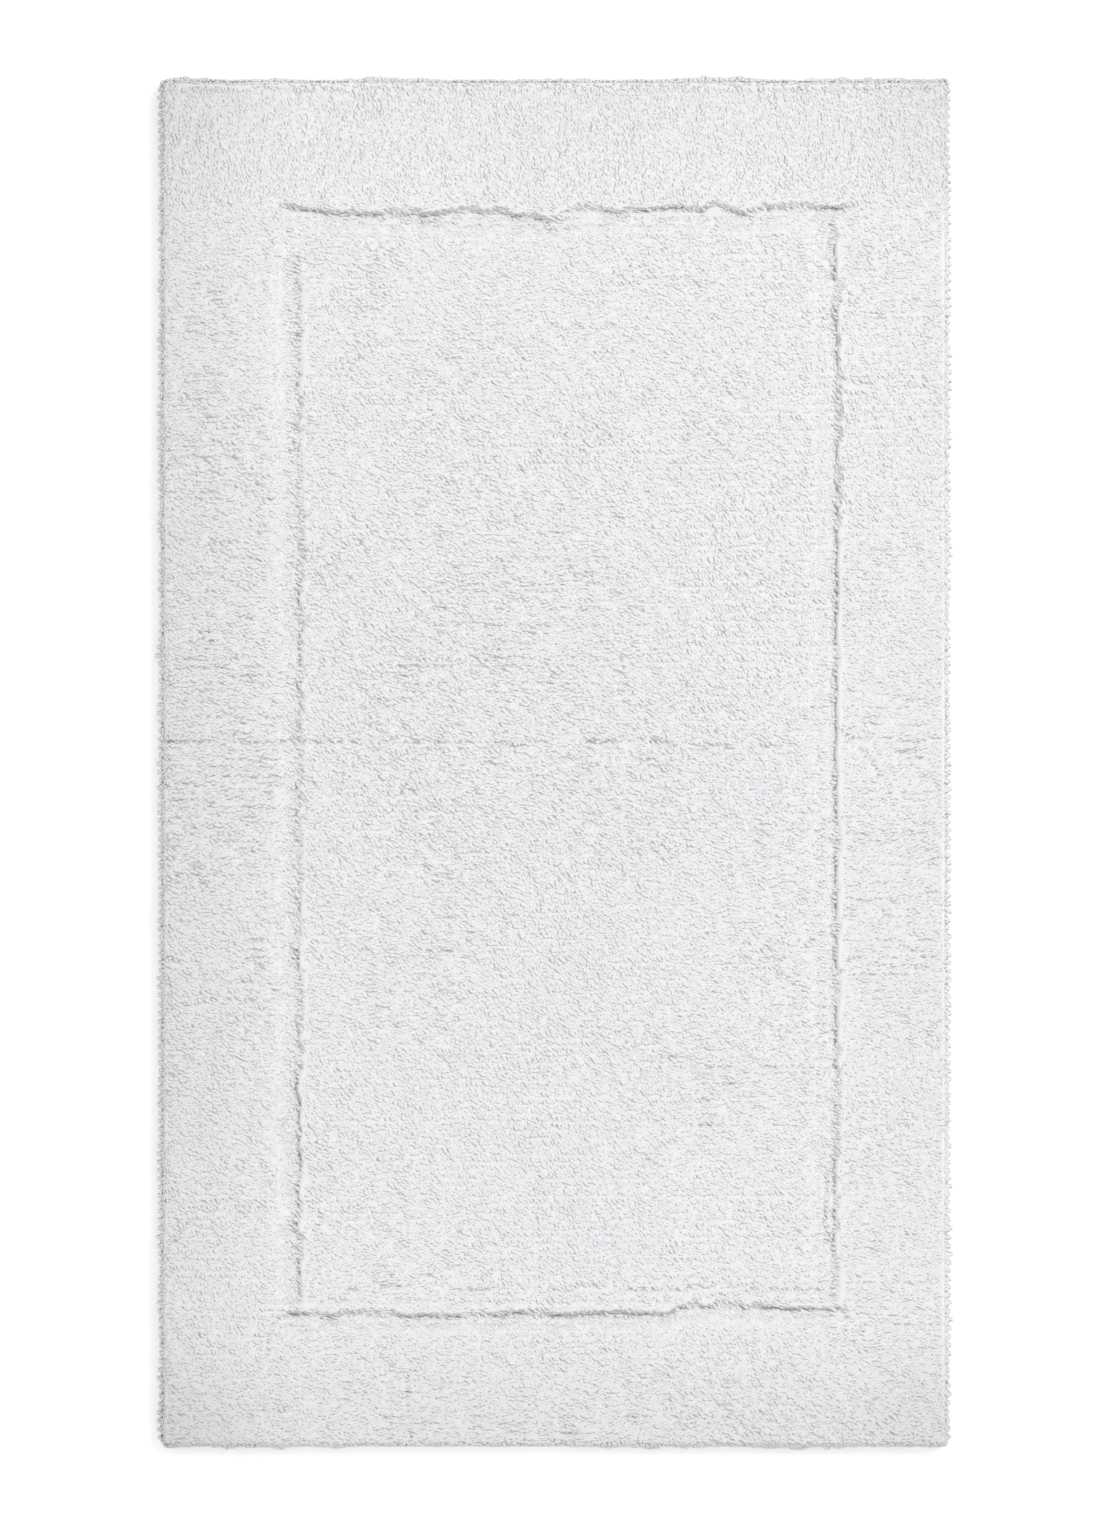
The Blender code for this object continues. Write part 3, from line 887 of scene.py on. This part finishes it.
hem = {
    "thick": 0.5 * mm,
    "under": 20 * mm, "over": 9 * mm,   # how far the tape goes under the mat, and over its edge
    "inside": 4 * mm,   # its fold stays this far inside the hanging pile
    "foldRadius": 0.8 * mm,
    "points": (8, 7, 4),   # points across the tape: under the mat, round the fold, over the edge
    "step": 2.2 * mm,
    "mitre": 0.2 * mm,   # gap between two tapes at a corner
    "waver": 0.25 * mm,   # its free edges aren't quite straight
    "pucker": (0.10 * mm, 0.002),   # it draws in a little at each stitch, and over what distance
    "puckerBelow": 1.6 * mm,
    "settle": 0.05 * mm,
    "stitch": 3.6 * mm, "stitchInset": 21 * mm, "stitchEnd": 1.2 * mm,
    "stitchRise": (0.15 * mm, 0.5 * mm),   # how deep a stitch dives in, and how far it rises from there
    "stitchWander": 0.12 * mm,
    "stitchPoints": 8,
    "threadRadius": 0.24 * mm, "threadSides": 6,
    "tape": {"warm": (0.85, 0.85, 0.845), "cool": (0.82, 0.82, 0.84), "clouds": 20.0, "yarn": 600.0,
             "contrast": 0.08, "bump": 0.7, "relief": 0.25 * mm, "threads": 3400.0,
             "Roughness": 0.88, "Specular IOR Level": 0.2, "Sheen Weight": 0.1},
    "thread": {"warm": (0.90, 0.90, 0.89), "cool": (0.87, 0.87, 0.88), "clouds": 40.0, "yarn": 1800.0,
               "contrast": 0.15, "bump": 0.5, "relief": 0.08 * mm,
               "Roughness": 0.5, "Specular IOR Level": 0.4, "Sheen Weight": 0.15},
}


def turned(points, quarter):
    angle = quarter * math.pi / 2
    c, s = round(math.cos(angle)), round(math.sin(angle))
    out = points.copy()
    out[..., 0] = points[..., 0] * c - points[..., 1] * s
    out[..., 1] = points[..., 0] * s + points[..., 1] * c
    return out


def tubeFaces(rings, around):
    index = np.arange(rings * around).reshape(rings, around)
    after = np.roll(index, -1, 1)
    walls = np.stack([index[:-1], after[:-1], after[1:], index[1:]], -1).reshape(-1, 4)
    return [(walls, True), (index[:1, ::-1].copy(), False), (index[-1:].copy(), False)]


def tapeSection(fold, z0, z1):
    # outside from the edge under the mat, round the fold, to the edge on top; then back along the inside
    t, radius, middle = hem["thick"], hem["foldRadius"], (z0 + z1) / 2
    under, roundFold, over = hem["points"]
    outside = [(fold - hem["under"] * (1 - k / under), z0) for k in range(under)]
    outside += [(fold - radius + radius * math.sin(a), middle - (z1 - z0) / 2 * math.cos(a))
                for a in np.linspace(0, math.pi, roundFold)]
    outside += [(fold - hem["over"] * (k + 1) / over, z1) for k in range(over)]
    inside = [(x, z - t) for x, z in reversed(outside[-over:])]
    inside += [(fold - t - 0.5 * mm, z1 - t), (fold - t - 0.3 * mm, middle), (fold - t - 0.5 * mm, z0 + t)]
    inside += [(x, z + t) for x, z in reversed(outside[:under])]
    return np.array(outside + inside)


def makeTape(name, quarter, reach, run, finish):
    # made along the right edge, then turned round to its own
    low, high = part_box("hem_tape_" + name)
    section = tapeSection(reach - hem["inside"], low.z, high.z)
    sectionX, sectionZ = section[None, :, 0], section[None, :, 1]
    count = int(2 * run / hem["step"])
    inset = reach - sectionX
    along = np.linspace(-1, 1, count)[:, None] * (run - inset - hem["mitre"])
    waver = hem["waver"] * smoothNoise(221 + quarter, along, along * 0, 0.03)
    free = np.isin(np.arange(len(section)), (0, len(section) - 1))
    depth, width = hem["pucker"]
    pucker = depth * np.cos(2 * math.pi * along / hem["stitch"]) * hump(inset - hem["stitchInset"], width)
    x = sectionX + np.where(free, waver, 0)
    z = np.maximum(sectionZ + pucker * (sectionZ < hem["puckerBelow"]) - hem["settle"], low.z)
    points = turned(np.stack(np.broadcast_arrays(x, along, z), -1), quarter)
    mesh = buildMesh("hem_tape_" + name, [(points.reshape(-1, 3), tubeFaces(count, len(section)))])
    return addPiece("tape_" + name, mesh, finish, "hem_tape", "hem_tape_" + name)


def makeStitches(name, quarter, reach, run, finish):
    # each stitch rises out of the tape, lies on it and dives back
    length = run - hem["stitchInset"] - hem["stitchEnd"]
    stitches = int(2 * length / hem["stitch"])
    s = np.linspace(-length, length, stitches * hem["stitchPoints"] + 1)
    dive, rise = hem["stitchRise"]
    rise = rise * np.abs(np.sin(s / length * math.pi * stitches)) ** 0.35
    across = reach - hem["stitchInset"] + hem["stitchWander"] * smoothNoise(231 + quarter, s, s * 0, 0.01)
    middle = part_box("hem_tape_" + name)[0].z + dive - rise
    sides, radius = hem["threadSides"], hem["threadRadius"]
    around = np.linspace(0, 2 * math.pi, sides + 1)[:-1]
    rings = [across[:, None] + radius * np.cos(around), np.broadcast_to(s[:, None], (len(s), sides)),
             middle[:, None] + radius * np.sin(around)]
    points = turned(np.stack(rings, -1), quarter)
    mesh = buildMesh("stitch_row_" + name, [(points.reshape(-1, 3), tubeFaces(len(s), sides))])
    return addPiece("stitch_row_" + name, mesh, finish, "hem_thread", "hem_thread_" + name)


def makeHems():
    tapeFinish = finishCloth("whiteHemTape", hem["tape"])
    threadFinish = finishCloth("whiteSewingThread", hem["thread"])
    for quarter, name in enumerate(("right", "back", "left", "front")):
        reach, run = (halfX, halfY) if quarter % 2 == 0 else (halfY, halfX)
        tape = makeTape(name, quarter, reach, run, tapeFinish)
        row = makeStitches(name, quarter, reach, run, threadFinish)
    print("hems made")


label = {
    "points": (48, 16),   # along it and across it
    "curl": 0.06 * mm,
    "fold": (0.05 * mm, 0.03),   # its folded ends: thickness, and share of the length
    "seam": (0.05 * mm, 0.06, 0.01),   # depth, place and width of the seam at each end
    "thin": (0.08 * mm, 0.06 * mm),   # how far it stays inside its space, above and below
    "finish": {"warm": (0.91, 0.91, 0.91), "cool": (0.89, 0.89, 0.90), "clouds": 60.0, "yarn": 900.0,
               "contrast": 0.04, "bump": 0.5, "relief": 0.1 * mm, "threads": 6200.0,
               "Roughness": 0.42, "Specular IOR Level": 0.5, "Sheen Weight": 0.25},
}


def makeLabel():
    low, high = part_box("care_label")
    along, across = label["points"]
    gx, gy = np.meshgrid(np.linspace(low.x, high.x, along), np.linspace(low.y, high.y, across))
    u, v = (gx - low.x) / (high.x - low.x), (gy - low.y) / (high.y - low.y)
    thick, width = label["fold"]
    folded = thick * (hump(u, width) + hump(1 - u, width))
    depth, place, width = label["seam"]
    seams = depth * (hump(u - place, width) + hump(u - (1 - place), width))
    lift = label["curl"] * np.sin(math.pi * u) * (0.6 + 0.4 * np.cos(6 * v)) * 0.5
    above, below = label["thin"]
    upper = np.stack([gx, gy, high.z - above + lift], -1)
    lower = np.stack([gx, gy, low.z + below - folded + seams + lift], -1)
    mesh = buildMesh("label_ribbon", [closedBlock(upper, lower)])
    material = finishCloth("whiteSatinRibbon", label["finish"])
    piece = addPiece("label_ribbon", mesh, material, "label", "care_label")
    print("label made")


makeBacking()
makeLatex()
makeHems()
makeLabel()


studioFloor = {
    "halfSide": 14.0,
    "warm": (0.97, 0.97, 0.97), "cool": (0.965, 0.965, 0.97), "clouds": 0.6, "yarn": 30.0,
    "contrast": 0.004, "bump": 0.02, "relief": 0.1 * mm,
    "Roughness": 0.9, "Specular IOR Level": 0.1, "Emission Strength": 0.24,
}


def makeFloor():
    side = studioFloor["halfSide"]
    corners = [(-side, -side, 0), (side, -side, 0), (side, side, 0), (-side, side, 0)]
    mesh = bpy.data.meshes.new("studioFloor")
    mesh.from_pydata(corners, [], [(0, 1, 2, 3)])
    floor = bpy.data.objects.new("studioFloor", mesh)
    bpy.context.scene.collection.objects.link(floor)
    mesh.materials.append(finishCloth("paleFloor", studioFloor))
    print("floor laid")


studio = {"sky": 0.80, "keyPower": 113, "keyPlace": (3.4, 2.5, 4.8), "keySize": 2.8}


def makeLights():
    world = bpy.data.worlds.new("softSky")
    world.use_nodes = True
    sky = world.node_tree.nodes["Background"]
    sky.inputs["Color"].default_value = (1, 1, 1, 1)
    sky.inputs["Strength"].default_value = studio["sky"]
    bpy.context.scene.world = world
    light = bpy.data.lights.new("keyLight", "AREA")
    light.size = studio["keySize"]
    light.energy = studio["keyPower"]
    lamp = bpy.data.objects.new("keyLight", light)
    lamp.location = studio["keyPlace"]
    lamp.rotation_euler = (-Vector(studio["keyPlace"])).to_track_quat("-Z", "Y").to_euler()
    bpy.context.scene.collection.objects.link(lamp)
    print("lights set")


view = {
    "distance": 5.0,   # straight above the mat
    "height": 1.3385,   # metres that the picture spans at the top of the pile
    "middle": (-0.0004, -0.0009),
    "sensor": 36,
}


def makeCamera():
    lens = bpy.data.cameras.new("camera")
    lens.sensor_fit = "VERTICAL"
    lens.sensor_height = view["sensor"]
    lens.lens = view["sensor"] * (view["distance"] - borderTop) / view["height"]
    camera = bpy.data.objects.new("camera", lens)
    camera.location = (*view["middle"], view["distance"])
    bpy.context.scene.collection.objects.link(camera)
    bpy.context.scene.camera = camera
    bpy.context.scene.view_settings.view_transform = "Standard"
    print("camera set")


makeFloor()
makeLights()
makeCamera()
